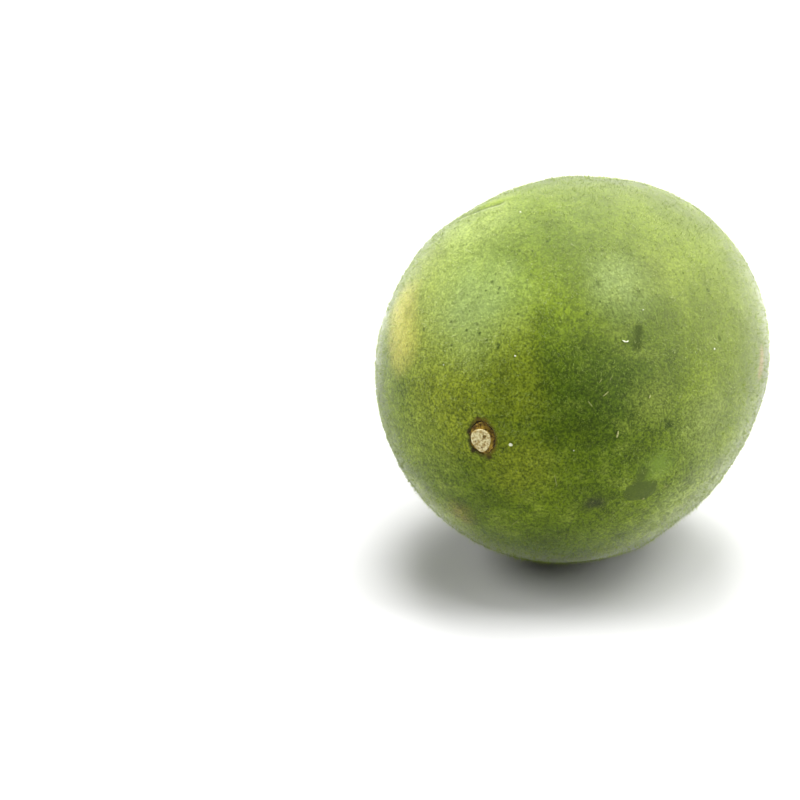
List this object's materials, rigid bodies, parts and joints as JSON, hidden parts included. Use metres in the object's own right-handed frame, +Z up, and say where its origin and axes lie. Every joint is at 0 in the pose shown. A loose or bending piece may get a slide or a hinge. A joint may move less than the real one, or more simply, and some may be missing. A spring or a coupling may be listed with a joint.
{
  "type": "monk fruit",
  "caption": "Whole unpeeled monk fruit, nearly round with a velvety green rind and a short cut stem stub, lying on its side.",
  "frame": {"origin": "on the surface the fruit rests on, under the middle of its outline seen from above", "axes": "+Z up, the stem axis along Y with the stem stub towards -Y"},
  "size_m": [0.0646, 0.0722, 0.0643],
  "materials": {
    "green_skin": "matte, finely haired",
    "corky_stem": "matte, rough"
  },
  "bodies": {
    "root": {"fruit_body": "green_skin", "stem_stub": "corky_stem"}
  },
  "joints": []
}
